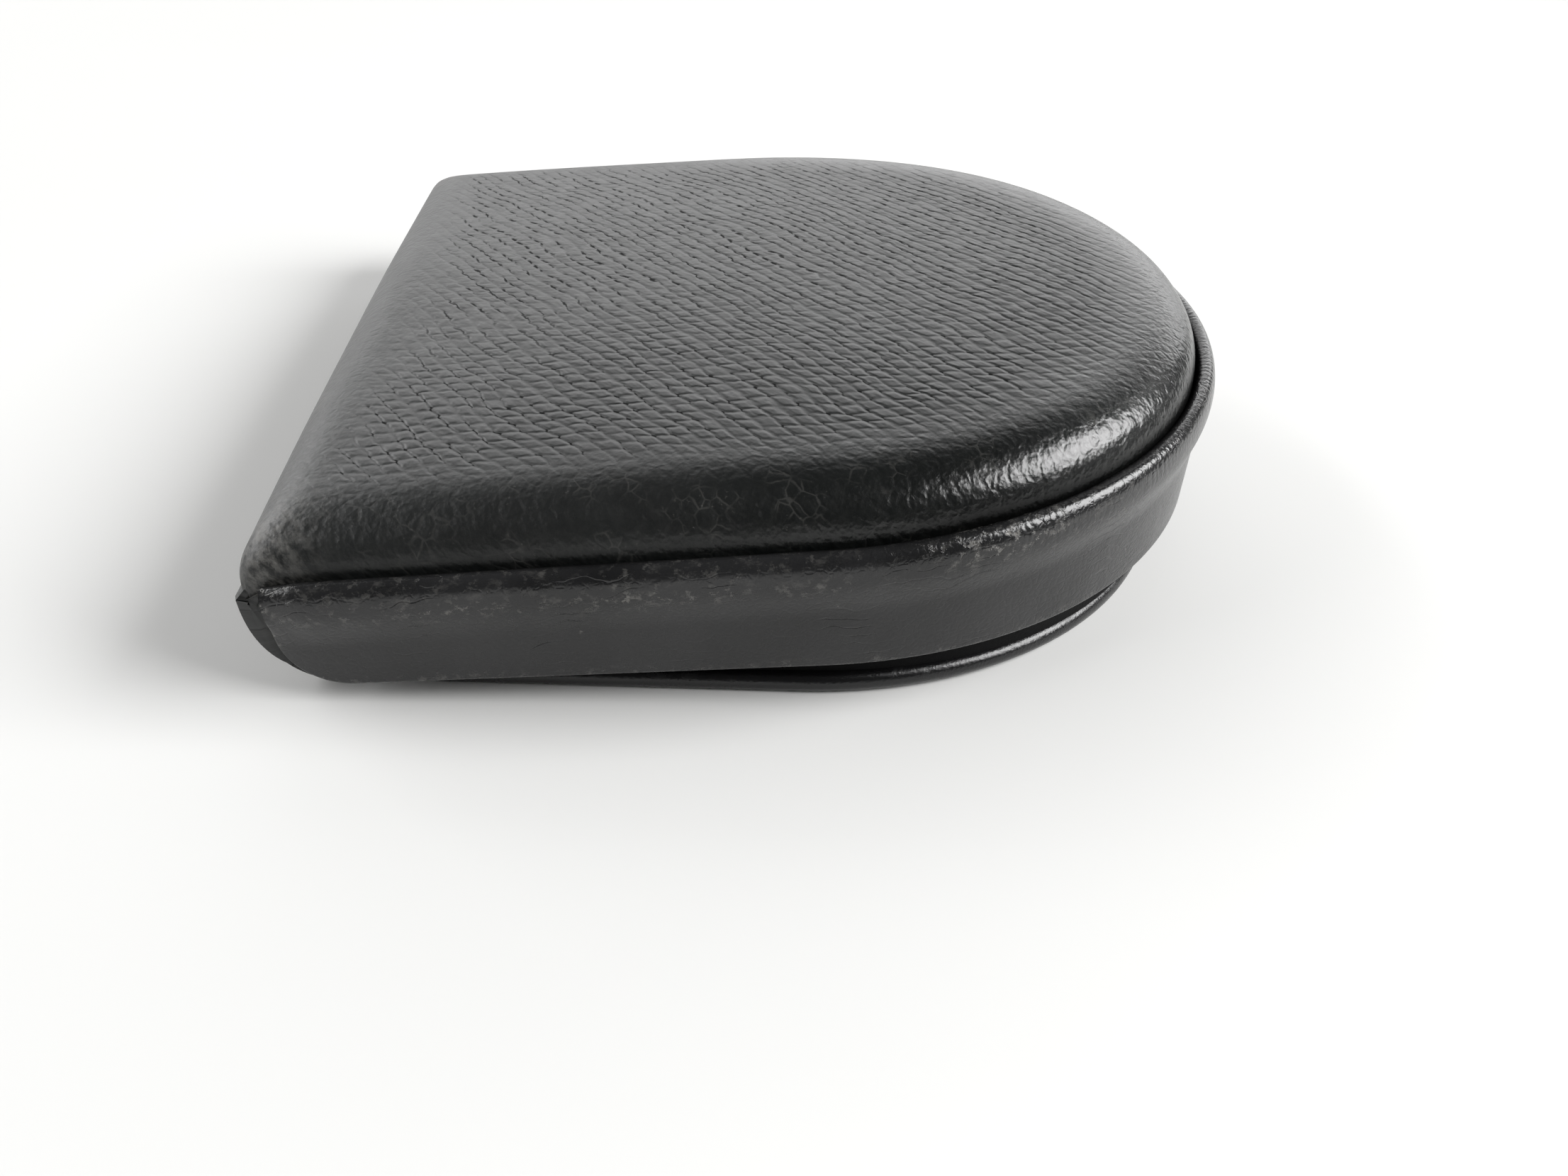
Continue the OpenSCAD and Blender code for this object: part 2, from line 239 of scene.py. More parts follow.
class Recipe:
    """One material: its nodes, and the shader that they end in."""

    def __init__(self, name):
        self.material = bpy.data.materials.new(name)
        self.material.use_nodes = True
        self.tree = self.material.node_tree
        self.shader = next(n for n in self.tree.nodes if n.type == "BSDF_PRINCIPLED")

    def node(self, kind, settings=None, sockets=None, output=0):
        """Adds a node, sets its options, then fills its sockets with values or links."""
        made = self.tree.nodes.new(kind)
        for name, option in (settings or {}).items():
            setattr(made, name, option)
        for key, value in (sockets or {}).items():
            if isinstance(value, Value):
                self.tree.links.new(value.socket, made.inputs[key])
            else:
                made.inputs[key].default_value = value
        return Value(self, made.outputs[output])

    def place(self):
        """Object coordinates in millimetres."""
        point = self.node("ShaderNodeTexCoord", output=3)
        return self.node("ShaderNodeVectorMath", {"operation": "SCALE"}, {0: point, "Scale": 1 / MM})

    def chart(self, name):
        """The piece's own surface chart, which is stored in millimetres."""
        return self.node("ShaderNodeUVMap", {"uv_map": name})

    def turned(self, point, degrees, stretch=(1, 1, 1)):
        """A point turned about its third axis and then stretched."""
        spun = self.node("ShaderNodeVectorRotate", {"rotation_type": "Z_AXIS"},
                         {"Vector": point, "Angle": math.radians(degrees)})
        return self.node("ShaderNodeVectorMath", {"operation": "MULTIPLY"}, {0: spun, 1: stretch})

    def shifted(self, point, noise, amount):
        """A point moved by a noise colour centred on zero."""
        half = (0.5, 0.5, 0.5)
        centred = self.node("ShaderNodeVectorMath", {"operation": "SUBTRACT"}, {0: noise, 1: half})
        return self.node("ShaderNodeVectorMath", {"operation": "MULTIPLY_ADD"},
                         {0: centred, 1: (amount, amount, amount), 2: point})

    def noise(self, point, scale, detail=2.0, roughness=0.5, colour=False):
        """Noise with so many waves to the millimetre."""
        return self.node("ShaderNodeTexNoise", {"normalize": True},
                         {"Vector": point, "Scale": scale, "Detail": detail, "Roughness": roughness},
                         1 if colour else 0)

    def cells(self, point, scale, feature="DISTANCE_TO_EDGE"):
        """Distance inside a pattern of cells."""
        return self.node("ShaderNodeTexVoronoi", {"feature": feature}, {"Vector": point, "Scale": scale})

    def step(self, value, low, high):
        """0 below low, 1 above high, smooth between."""
        return self.node("ShaderNodeMapRange", {"interpolation_type": "SMOOTHSTEP"},
                         {"Value": value, "From Min": low, "From Max": high})

    def attribute(self, name):
        """A number stored on the piece's points."""
        return self.node("ShaderNodeAttribute", {"attribute_name": name}, output=2)

    def mix(self, share, first, second):
        """A colour between two colours."""
        tint = {0: share}
        for index, choice in ((6, first), (7, second)):
            tint[index] = choice if isinstance(choice, Value) else (*choice, 1.0)
        return self.node("ShaderNodeMix", {"data_type": "RGBA"}, tint, 2)

    def axis(self, point, index):
        """One coordinate of a point."""
        return self.node("ShaderNodeSeparateXYZ", None, {0: point}, index)

    def shadow(self, share):
        """Mixes the shader with a dull black where the share is high, for creases that get no light."""
        black = self.node("ShaderNodeBsdfDiffuse", None, {"Color": (0.002, 0.002, 0.002, 1.0)})
        skin = Value(self, self.shader.outputs[0])
        both = self.node("ShaderNodeMixShader", None, {0: share, 1: skin, 2: black})
        output = next(n for n in self.tree.nodes if n.type == "OUTPUT_MATERIAL")
        self.tree.links.new(both.socket, output.inputs["Surface"])

    def finish(self, base, roughness, height, depth, specular=0.5):
        """Feeds the shader with a colour, a roughness and a relief of so many millimetres."""
        bump = {"Strength": 1.0, "Distance": depth * MM, "Height": height}
        relief = self.node("ShaderNodeBump", None, bump)
        for name, value in (("Base Color", base), ("Roughness", roughness), ("Normal", relief)):
            self.tree.links.new(value.socket, self.shader.inputs[name])
        self.shader.inputs["Specular IOR Level"].default_value = specular
        return self.material


def tinted(rgb, share):
    """A colour made darker or paler by a share."""
    return tuple(share * part for part in rgb)


def boarded_leather(finish):
    """Grained top leather: wavy rows of soft pebbles, with short creases between them that are darkened
    with painted shade.

    The rows run aslant and each is cut into pebbles with its own stagger. Towards the edge the leather is
    drawn smooth, and there round cells with a pale web take over.
    """
    r = Recipe("boarded_leather")
    chart = r.chart("grain")
    moved = r.shifted(chart, r.noise(chart, 0.05, 1.0, colour=True), 3.5)
    moved = r.shifted(moved, r.noise(chart, 0.25, 1.0, colour=True), 0.9)
    moved = r.shifted(moved, r.noise(chart, 1.2, 1.0, colour=True), 0.35)
    lean = r.turned(moved, 33)
    across = r.axis(lean, 1) * (1 / 1.08)
    row = across.math("FLOOR")
    ridge = (across * math.pi).math("SINE").math("ABSOLUTE")
    stagger = r.node("ShaderNodeTexWhiteNoise", {"noise_dimensions": "1D"}, {"W": row})
    along = r.axis(lean, 0) * (1 / 1.35) + stagger + 0.5 * (across - row)
    cut = (along * math.pi).math("SINE").math("ABSOLUTE")
    near = r.step(0 - r.axis(chart, 0), 0.0, 22.0)
    front = r.step(r.axis(chart, 1), -14.0, 8.0)
    broken = r.step(r.noise(r.turned(chart, 33, (0.5, 1, 1)), 0.9, 2.0), 0.36, 0.60)
    patchy = r.step(r.noise(chart, 0.25, 2.0), 0.40, 0.62)
    low = r.attribute("worn")
    flat = r.step(low, 0.30, 0.85)
    drawn = r.step(low, 0.30, 0.72)
    split = 0.15 + 0.45 * near + 0.25 * patchy
    pillow = r.step(ridge, 0.0, 0.9) * (1 - split * (1 - r.step(cut, 0.0, 0.9)))
    pit = (1 - r.step(ridge + 0.6 * cut, 0.10, 0.70)) * (0.35 + 0.65 * broken) * (0.3 + 0.7 * near)
    furrow = (1 - r.step(ridge, 0.12, 0.62)) * r.step(cut, 0.20, 0.75) * (0.4 + 0.6 * broken)
    crease = pit.math("MAXIMUM", furrow * (1 - 0.45 * near) * 0.8) * (1 - 0.75 * drawn)
    cell = r.cells(moved, 1.05)
    pores = r.noise(chart, 5.0, 4.0, 0.65)
    facets = r.cells(chart, 3.6, "F1")
    grain = (0.55 * pillow - 0.25 * crease) * (0.5 + 0.5 * broken) * (1 - 0.45 * drawn) * (1 - 0.85 * flat)
    skin = 0.10 * pores + 0.14 * flat * facets + 0.15 * flat * r.step(cell, 0.0, 0.3)
    height = grain + skin + 0.30 * r.noise(chart, 0.6, 2.0)
    shaded_crease = r.step(crease, 0.25, 0.85)
    tone = r.step(r.noise(chart, 0.09, 4.0), 0.35, 0.7)
    shade = r.mix(tone, tinted(finish.top_black, 0.8), tinted(finish.top_black, 1.3))
    dusty = r.step(r.noise(chart, 0.35, 3.0), 0.42, 0.62) * flat
    specks = r.step(r.noise(chart, 2.6, 3.0, 0.7), 0.62, 0.70)
    web = (1 - r.step(cell, 0.01, 0.08)) * broken
    rub = r.attribute("rub") * r.step(r.noise(chart, 1.3, 5.0, 0.75), 0.38, 0.64) * (0.5 + 0.5 * pores)
    pale = (web * dusty * 0.14 + specks * dusty * 0.22 + rub * 0.9) * finish.wear
    shade = r.mix(pale.math("MINIMUM", 0.8), shade, finish.dust)
    rough = 0.38 + 0.10 * r.noise(chart, 0.5, 3.0) + 0.10 * shaded_crease - 0.18 * flat * front + 0.25 * pale
    # Painted shade: a dull black mixed in over the deep creases, and low in the groove at the pad's foot
    # towards the round end.
    r.shadow((shaded_crease * 0.8).math("MAXIMUM", r.attribute("groove") * 0.85))
    return r.finish(shade, rough, height, 0.12)


def smooth_leather(finish):
    """Band leather: a fine pebble, faint wavy creases, scuffs under the bead and on the edges, and painted
    shade on the bead's inner slope.
    """
    r = Recipe("smooth_leather")
    chart = r.chart("grain")
    warped = r.shifted(chart, r.noise(chart, 0.22, 3.0, colour=True), 4.0)
    wave = (r.axis(warped, 1) * (math.pi / 0.9)).math("SINE").math("ABSOLUTE")
    folds = (1 - r.step(wave, 0.0, 0.30)) * r.step(r.noise(chart, 0.16, 2.0), 0.50, 0.68)
    pebble = r.step(r.cells(r.shifted(chart, r.noise(chart, 1.5, 1.0, colour=True), 0.4), 1.9), 0.0, 0.22)
    pores = r.noise(chart, 5.0, 4.0, 0.65)
    dents = r.noise(chart, 0.7, 2.0)
    edge = r.attribute("edge")
    bead = r.attribute("bead")
    waves = (r.axis(chart, 0) + 1.4 * r.noise(chart, 0.8, 2.0)) * (2 * math.pi / 0.6)
    ribs = waves.math("SINE") * 0.5 + 0.5
    gather = r.step(r.noise(chart, 0.12, 1.0), 0.42, 0.62) * r.step(r.axis(chart, 0), 30.0, 44.0)
    specks = r.step(r.noise(chart, 1.4, 4.0, 0.7), 0.54, 0.64)
    scuff = r.step(r.noise(r.turned(chart, 0, (0.7, 1.2, 1)), 1.0, 5.0, 0.75), 0.52, 0.68)
    patch = r.step(r.noise(chart, 0.13, 2.0), 0.40, 0.60)
    pale = (specks * 0.7 + scuff * 0.6) * edge * (0.4 + 0.6 * patch) * finish.wear
    lone = r.step(r.noise(chart, 1.1, 2.0), 0.74, 0.78) * 0.3
    tone = r.step(r.noise(chart, 0.12, 3.0), 0.35, 0.7)
    shade = r.mix(tone, tinted(finish.band_black, 0.8), tinted(finish.band_black, 1.4))
    shade = r.mix((pale + lone).math("MINIMUM", 0.85), shade, finish.dust)
    rough = 0.22 + 0.10 * r.noise(chart, 0.8, 3.0) + 0.25 * pale - 0.06 * bead
    skin = 0.5 - 0.30 * folds + 0.10 * pebble + 0.12 * pores + 0.40 * dents
    height = skin + 0.22 * (ribs * bead * gather) - 0.30 * specks * edge
    # Painted shade: a dull black mixed in on the bead's inner slope, which faces the groove.
    r.shadow(r.attribute("groove") * 0.9)
    return r.finish(shade, rough, height, 0.08)


def polished_leather(finish, name, roughness, patches):
    """Polished black leather with fine pores and rubbed patches."""
    r = Recipe(name)
    place = r.place()
    pores = r.noise(place, 5.0, 3.0, 0.6)
    rub = r.step(r.noise(place, 0.5, 4.0, 0.65), 0.5, 0.7) * patches
    shade = r.mix(rub * 0.4, finish.sole_black, tinted(finish.sole_black, 2.2))
    rough = roughness + 0.16 * rub + 0.08 * pores
    return r.finish(shade, rough, pores + 0.4 * r.noise(place, 0.9, 2.0), 0.03)


def dull_leather(finish):
    """Tray leather: thin black skin with a dull, close grain, kept darker than the sole's leather as
    painted shade for the gap under the band.
    """
    r = Recipe("dull_leather")
    place = r.place()
    pores = r.noise(place, 4.0, 3.0, 0.6)
    # Partly painted shade: the black is taken down to a third to two thirds of the sole's, so the tray wall
    # under the band reads as a dark gap.
    shade = r.mix(pores, tinted(finish.sole_black, 0.3), tinted(finish.sole_black, 0.6))
    return r.finish(shade, 0.78 + 0.12 * pores, pores, 0.04, specular=0.15)


def lining_leather(finish):
    """Lining leather: a tight fine pebble."""
    r = Recipe("lining_leather")
    place = r.place()
    moved = r.shifted(place, r.noise(place, 0.8, 2.0, colour=True), 0.5)
    pebble = r.step(r.cells(moved, 1.7), 0.0, 0.18)
    tone = r.step(r.noise(place, 0.15, 3.0), 0.35, 0.7)
    shade = r.mix(tone, tinted(finish.lining_black, 0.8), tinted(finish.lining_black, 1.35))
    rough = 0.62 + 0.12 * r.noise(place, 1.2, 3.0)
    return r.finish(shade, rough, pebble + 0.2 * r.noise(place, 7.0, 2.0), 0.04, specular=0.4)


def leather_board(finish):
    """Leather board: pressed dark fibre."""
    r = Recipe("leather_board")
    place = r.place()
    fibre = r.noise(r.turned(place, 30, (0.5, 3.0, 3.0)), 2.2, 4.0, 0.7)
    shade = r.mix(fibre, tinted(finish.board_grey, 0.55), finish.board_grey)
    return r.finish(shade, 0.85 + 0.1 * fibre, fibre, 0.05, specular=0.2)


def soft_padding(finish):
    """Padding: open cells in a pale foam."""
    r = Recipe("soft_padding")
    place = r.place()
    bubble = r.step(r.cells(place, 2.4), 0.0, 0.22)
    shade = r.mix(bubble, tinted(finish.foam_cream, 0.6), finish.foam_cream)
    return r.finish(shade, 0.92 + 0.05 * bubble, bubble, 0.12, specular=0.1)


# Shapes

def quads(rows, columns, first=0):
    """Faces of a grid of points that closes round its columns."""
    i = np.arange(rows - 1)[:, None]
    j = np.arange(columns)[None, :]
    k = (j + 1) % columns
    corners = np.stack(np.broadcast_arrays(i * columns + j, i * columns + k,
                                           (i + 1) * columns + k, (i + 1) * columns + j), -1)
    return first + corners.reshape(-1, 4)


def fan(ring, middle):
    """Triangles from a ring of points to one middle point."""
    return np.stack([ring, np.roll(ring, -1), np.full_like(ring, middle)], -1)


def tube(rows, columns):
    """Faces of a row of closed sections, with the first and the last filled in."""
    ring = np.arange(columns)[None]
    return [quads(rows, columns), ring, (rows - 1) * columns + ring]


def hump(value, middle, width):
    """A bell curve that is 1 in its middle."""
    return np.exp(-((value - middle) / width) ** 2)


def run_length(points, axis=0):
    """Distance run along lines of points, from 0."""
    steps = np.linalg.norm(np.diff(points, axis=axis), axis=-1)
    start = np.zeros_like(np.take(steps, [0], axis))
    return np.concatenate([start, np.cumsum(steps, axis)], axis)


def fold_height(s):
    """Height of the upper fold over the table."""
    return s.rim_height - s.fold_drop


def make_piece(name, points, faces, material, chart=None, marks=None, sharp=50):
    """One mesh object from arrays of points and of faces, with its chart and marks stored on the mesh."""
    mesh = bpy.data.meshes.new(name)
    mesh.vertices.add(len(points))
    mesh.vertices.foreach_set("co", np.asarray(points, np.float32).ravel())
    corners = np.concatenate([np.asarray(f).ravel() for f in faces])
    sizes = np.concatenate([np.full(len(f), np.shape(f)[1]) for f in faces])
    mesh.loops.add(len(corners))
    mesh.loops.foreach_set("vertex_index", corners.astype(np.int32))
    mesh.polygons.add(len(sizes))
    mesh.polygons.foreach_set("loop_start", np.r_[0, np.cumsum(sizes)[:-1]].astype(np.int32))
    mesh.update(calc_edges=True)
    for mark, values in (marks or {}).items():
        layer = mesh.attributes.new(mark, "FLOAT", "POINT")
        layer.data.foreach_set("value", np.asarray(values, np.float32))
    if chart is not None:
        layer = mesh.uv_layers.new(name="grain")
        layer.uv.foreach_set("vector", (np.asarray(chart)[corners] / MM).astype(np.float32).ravel())
    shape = bmesh.new()
    shape.from_mesh(mesh)
    bmesh.ops.recalc_face_normals(shape, faces=shape.faces)
    if shape.calc_volume(signed=True) < 0:
        bmesh.ops.reverse_faces(shape, faces=shape.faces)
    shape.to_mesh(mesh)
    shape.free()
    mesh.polygons.foreach_set("use_smooth", np.ones(len(mesh.polygons), bool))
    mesh.set_sharp_from_angle(angle=math.radians(sharp))
    mesh.materials.append(material)
    piece = bpy.data.objects.new(name, mesh)
    bpy.context.scene.collection.objects.link(piece)
    return piece


def lid_points(s, across, along, up):
    """Points of the lid from the distance to the spine and the height over the rim, turned by the wedge."""
    cosine, sine = math.cos(s.wedge), math.sin(s.wedge)
    return np.stack(np.broadcast_arrays(
        across,
        SPINE_Y - (along * cosine - up * sine),
        s.rim_height + along * sine + up * cosine), -1)


def horseshoe(radius, centre, rear, corner, count):
    """Closed horseshoe outline by its own length: half circle, flank, corner, back, corner, flank."""
    flank, bend, back = centre - rear - corner, corner * math.pi / 2, 2 * (radius - corner)
    ends = np.cumsum([math.pi * radius, flank, bend, back, bend])
    run = np.arange(count) / count * (ends[-1] + flank)
    part = np.searchsorted(ends, run, side="right")
    left = run - np.r_[0, ends][part]
    turn, sweep = left / radius, left / corner
    across = np.choose(part, [
        radius * np.cos(turn), np.full(count, -radius), -radius + corner - corner * np.cos(sweep),
        -radius + corner + left, radius - corner + corner * np.sin(sweep), np.full(count, radius)])
    along = np.choose(part, [
        centre + radius * np.sin(turn), centre - left, rear + corner - corner * np.sin(sweep),
        np.full(count, rear), rear + corner - corner * np.cos(sweep), rear + corner + left])
    return across, along


def pad_surface(s, margin, around, rings):
    """Rings of the domed pad from its foot to its middle.

    The foot is a horseshoe that bulges on each side of the round end and stands back in its middle. Each
    ring is that outline shrunk towards the middle. Its height is the rise, a swell that fades from the
    middle and a slow ripple, times a shoulder: a quarter of a superellipse of the distance from the foot.
    At the back the foot reaches down over the spine.
    """
    radius = HALF_WIDTH - s.pad_inset - margin
    centre = s.case_length - HALF_WIDTH
    rear = s.pad_start + margin
    across, along = horseshoe(radius, centre, rear, s.pad_corner, around)
    ahead = np.clip((along - centre) / radius, 0, 1) ** 2
    bulge = 1 + (s.pad_bulge * 4 * ahead * (1 - ahead) - s.pad_draw * ahead) / radius
    across, along = across * bulge, centre + (along - centre) * bulge
    inward = np.linspace(0, 1, rings, endpoint=False)[:, None] ** 1.9
    x = across * (1 - inward)
    u = centre + (along - centre) * (1 - inward)
    close = np.clip(inward * radius / s.shoulder_run, 0, 1)
    shoulder = (1 - (1 - close) ** s.shoulder_power) ** (1 / s.shoulder_power)
    swell = s.crown * (1 - (x ** 2 + (u - centre) ** 2) / s.crown_reach ** 2)
    sway = np.sin(x / (4.1 * MM) + 1.3 * np.sin(u / (9.0 * MM)))
    ripple = s.pad_ripple * sway * np.sin(u / (5.3 * MM) + 0.7)
    at_back = np.clip(1 - (along - rear) / s.pad_pull_run, 0, 1)
    drop = s.pad_pull * at_back * (1 - shoulder)
    z = (s.shoulder_rise + swell + ripple - margin) * shoulder - s.groove - drop
    return x, u, z, centre, at_back


def ring_points(s, x, u, z, centre):
    """Rings and a middle point as one list of points."""
    rings = lid_points(s, x, u, z).reshape(-1, 3)
    middle = lid_points(s, np.array(0.0), np.array(centre), z[-1].mean())
    return np.vstack([rings, middle[None]])


def top_wear_and_shade(s, x, u, z, centre, edge_run):
    """Marks on the top leather: drawn smooth near the edge, rubbed at the corners, painted shade in the
    groove.
    """
    drawn_run, rub_run, corner_u, corner_run = 16 * MM, 3 * MM, 1.5 * MM, 2.5 * MM
    groove_rise, groove_run = 2 * MM, 10 * MM
    worn = np.clip(1 - edge_run / drawn_run, 0, 1) ** 1.2
    corner = np.hypot((np.abs(x) - HALF_WIDTH + rub_run) / rub_run, (u - corner_u) / corner_run)
    rub = np.maximum(np.exp(-corner ** 2), 0.05 * hump(edge_run, 0, rub_run))
    # Painted shade: strongest low on the pad's side by the groove, and only towards the round end.
    groove = np.clip(1.3 - (z + s.groove) / groove_rise, 0, 1) * np.clip((u - centre) / groove_run, 0, 1)
    return {"worn": worn, "rub": rub, "groove": groove}


def lid_top(s, material):
    """Top leather: a skin over the pad, charted by the distance run over the surface from the middle."""
    around, rings, inner_rings = 360, 96, 30
    x, u, z, centre, at_back = pad_surface(s, 0.0, around, rings - 1)
    spread = 1 + s.flange * (1 - at_back) / np.hypot(x[0], u[0] - centre)
    x = np.vstack([x[0] * spread, x])
    u = np.vstack([centre + (u[0] - centre) * spread, u])
    z = np.vstack([z[0] + s.flange_lift, z])
    outer = ring_points(s, x, u, z, centre)
    ix, iu, iz, _, _ = pad_surface(s, s.cover_skin, around, inner_rings)
    inner = ring_points(s, ix, iu, iz, centre)
    first = len(outer)
    ring = np.arange(around)
    lip = np.stack([ring, np.roll(ring, -1), first + np.roll(ring, -1), first + ring], -1)
    faces = [quads(rings, around), fan((rings - 1) * around + ring, first - 1),
             quads(inner_rings, around, first),
             fan(first + (inner_rings - 1) * around + ring, first + len(inner) - 1), lip]
    plan = np.stack([x, u - centre], -1)
    steps = np.diff(np.concatenate([plan, np.zeros((1, around, 2))]), axis=0)
    rise = np.diff(np.concatenate([z, z[-1:]]), axis=0)
    run = np.sqrt((steps ** 2).sum(-1) + rise ** 2)[::-1].cumsum(0)[::-1]
    reach = np.linalg.norm(plan, axis=-1)
    chart = plan / np.maximum(reach, 1e-6)[..., None] * run[..., None]
    inner_chart = np.stack([ix, iu - centre], -1).reshape(-1, 2)
    chart = np.vstack([chart.reshape(-1, 2), [[0, 0]], inner_chart, [[0, 0]]])
    # The marks hold the wear and the painted shade in the groove.
    wear = top_wear_and_shade(s, x, u, z, centre, np.linalg.norm(plan[0], axis=-1) - reach)
    blank = np.zeros(1 + len(inner))
    marks = {name: np.r_[values.ravel(), blank] for name, values in wear.items()}
    piece = make_piece("lid_top", np.vstack([outer, inner]), faces, material, chart, marks)
    return piece


def lid_padding(s, material):
    """Padding: the space under the top leather down to the board."""
    around, rings = 180, 30
    x, u, z, centre, _ = pad_surface(s, s.cover_skin + 0.02 * MM, around, rings)
    z[0] = -s.groove
    top = ring_points(s, x, u, z, centre)
    floor = lid_points(s, np.array(0.0), np.array(centre), np.array(-s.groove))[None]
    ring = np.arange(around)
    faces = [quads(rings, around), fan((rings - 1) * around + ring, len(top) - 1), fan(ring, len(top))]
    piece = make_piece("lid_padding", np.vstack([top, floor]), faces, material)
    return piece


def band_line(s):
    """Line of the band in plan: its middle line along the case and its outward direction at each place."""
    centre = s.case_length - HALF_WIDTH
    corner = s.band_start + s.band_corner
    bend = np.linspace(0, math.pi / 2, 30)
    flank = np.r_[corner - s.band_corner * np.cos(bend), np.linspace(corner, centre, 70)[1:]]
    turn = np.linspace(0, math.pi, 220)[1:-1]
    middle = np.r_[flank, np.full(len(turn), centre), flank[::-1]]
    out_x = np.r_[np.full(len(flank), -1.0), -np.cos(turn), np.ones(len(flank))]
    out_u = np.r_[np.zeros(len(flank)), np.sin(turn), np.zeros(len(flank))]
    return middle, out_x, out_u


def band_edge(s, along):
    """Height of the band's lower edge: a sloping line, and near the two ends a round corner."""
    slope = (s.band_front - s.band_rear) / s.case_length
    corner_u = s.band_start + s.band_corner
    corner_z = s.band_corner / math.cos(math.atan(slope)) - s.band_rear - slope * corner_u
    arc = corner_z - np.sqrt(np.maximum(s.band_corner ** 2 - np.minimum(along - corner_u, 0) ** 2, 0))
    return np.where(along < corner_u, arc, -(s.band_rear + slope * along))


def band_section(s, along, edge, roll):
    """Sections of the band as radius and height, one row to each place along it.

    A section starts on the bead's inner slope, rolls over the bead, runs out into the face, leans in a
    little down to the lower edge, turns under the stiffener and comes back up round the space for it.
    """
    turn_r, seam, thin = 0.3 * MM, 0.02 * MM, 0.2 * MM
    end_in, end_drop = 0.15 * MM, 0.25 * MM
    face = HALF_WIDTH - s.bead_proud
    core = face - s.band_skin
    inside = core - s.band_core
    ones = np.ones((len(edge), 1))
    end = np.clip((along - s.band_start) / s.bead_end, 0, 1)[:, None]
    full = end * end * (3 - 2 * end)
    slim = 0.8 + 0.2 * full
    bead_r = s.bead / 2 * slim
    mid_r = HALF_WIDTH - s.bead / 2 - end_in * (1 - full)
    inner_side = roll > math.pi / 2
    bead_x = mid_r + np.where(inner_side, s.bead_inside * slim, bead_r) * np.cos(roll)
    bead_z = -end_drop * (1 - full) - np.where(inner_side, bead_r, s.bead_fall) * (1 - np.sin(roll))
    run = np.linspace(0, 1, RUN_STEPS + 1)[1:]
    drop = np.linspace(0, 1, 24)[1:]
    turned = np.radians(np.linspace(0, -90, 8))
    low = edge[:, None] + turn_r
    from_r, from_z = mid_r + bead_r, bead_z[:, -1:]
    to_z = np.maximum(-s.bead_blend, from_z + (low - from_z) * 0.7)
    run_r = from_r + (face - from_r) * run ** 2 * (3 - 2 * run)
    run_z = from_z + (to_z - from_z) * run
    hollow = inside + (core - inside) * np.clip((along - s.band_start - s.hem) / thin, 0.04, 1)
    top = np.maximum(-s.groove - s.bead / 6, edge + s.hem)
    radius = np.concatenate([
        bead_x, run_r, ones * (face - s.band_lean * drop),
        ones * (face - s.band_lean - turn_r + turn_r * np.cos(turned[1:])),
        ones * (inside + turn_r - turn_r * np.cos(turned[::-1])),
        ones * inside, hollow[:, None], hollow[:, None], ones * inside], 1)
    height = np.concatenate([
        bead_z, run_z, to_z + (low - to_z) * drop,
        low + turn_r * np.sin(turned[1:]), low + turn_r * np.sin(turned[::-1]),
        np.stack([edge + s.hem + seam, edge + s.hem, top, top + seam], 1)], 1)
    return radius, height


def band_wear_and_shade(s, path, along, edge, height, roll):
    """Marks on the band: its bead, its scuffed edges and handled places, painted shade on the bead's inner
    slope.
    """
    edge_rise, end_run, scuff_at, scuff_width = 0.9 * MM, 0.5 * MM, -2 * MM, 0.7 * MM
    bead = np.zeros(height.shape)
    bead[:, :BEAD_STEPS] = np.clip(np.sin(roll) + 0.6, 0, 1)
    lower = 0.7 * np.clip(1 - (height - edge[:, None]) / edge_rise, 0, 1)
    ends = 1.6 * np.clip(1 - (along - s.band_start) / end_run, 0, 1)[:, None]
    handled = 0.3 + 0.7 * hump(path, 17 * MM, 9 * MM)[:, None]
    outside = np.arange(height.shape[1]) < BEAD_STEPS + RUN_STEPS
    under = 1.4 * hump(height, scuff_at, scuff_width) * handled * outside
    rubbed = 0.3 + 1.2 * hump(path, 44.5 * MM, 4 * MM)[:, None]
    worn = np.maximum(np.maximum(bead * rubbed, lower), np.maximum(ends, under))
    # Painted shade on the bead's inner slope, which faces the groove.
    groove = np.zeros(height.shape)
    groove[:, :BEAD_STEPS] = np.clip((np.degrees(roll) - 95) / 35, 0, 1)
    return {"edge": worn.ravel(), "bead": bead.ravel(), "groove": groove.ravel()}


def band_wrap(s, material):
    """Band leather: its section carried along a flank, round the end and back along the other flank."""
    face = HALF_WIDTH - s.bead_proud
    middle, out_x, out_u = band_line(s)
    along = middle + face * out_u
    edge = band_edge(s, along)
    roll = np.radians(np.linspace(205, 0, BEAD_STEPS))
    radius, height = band_section(s, along, edge, roll)
    points = lid_points(s, out_x[:, None] * radius, middle[:, None] + out_u[:, None] * radius, height)
    path = run_length(np.stack([out_x * face, along], 1))
    down = run_length(np.stack([radius, height], -1), axis=1)
    chart = np.stack([np.broadcast_to(path[:, None], down.shape), -down], -1).reshape(-1, 2)
    marks = band_wear_and_shade(s, path, along, edge, height, roll)
    faces = tube(*radius.shape)
    return make_piece("band_wrap", points.reshape(-1, 3), faces, material, chart, marks, 60)


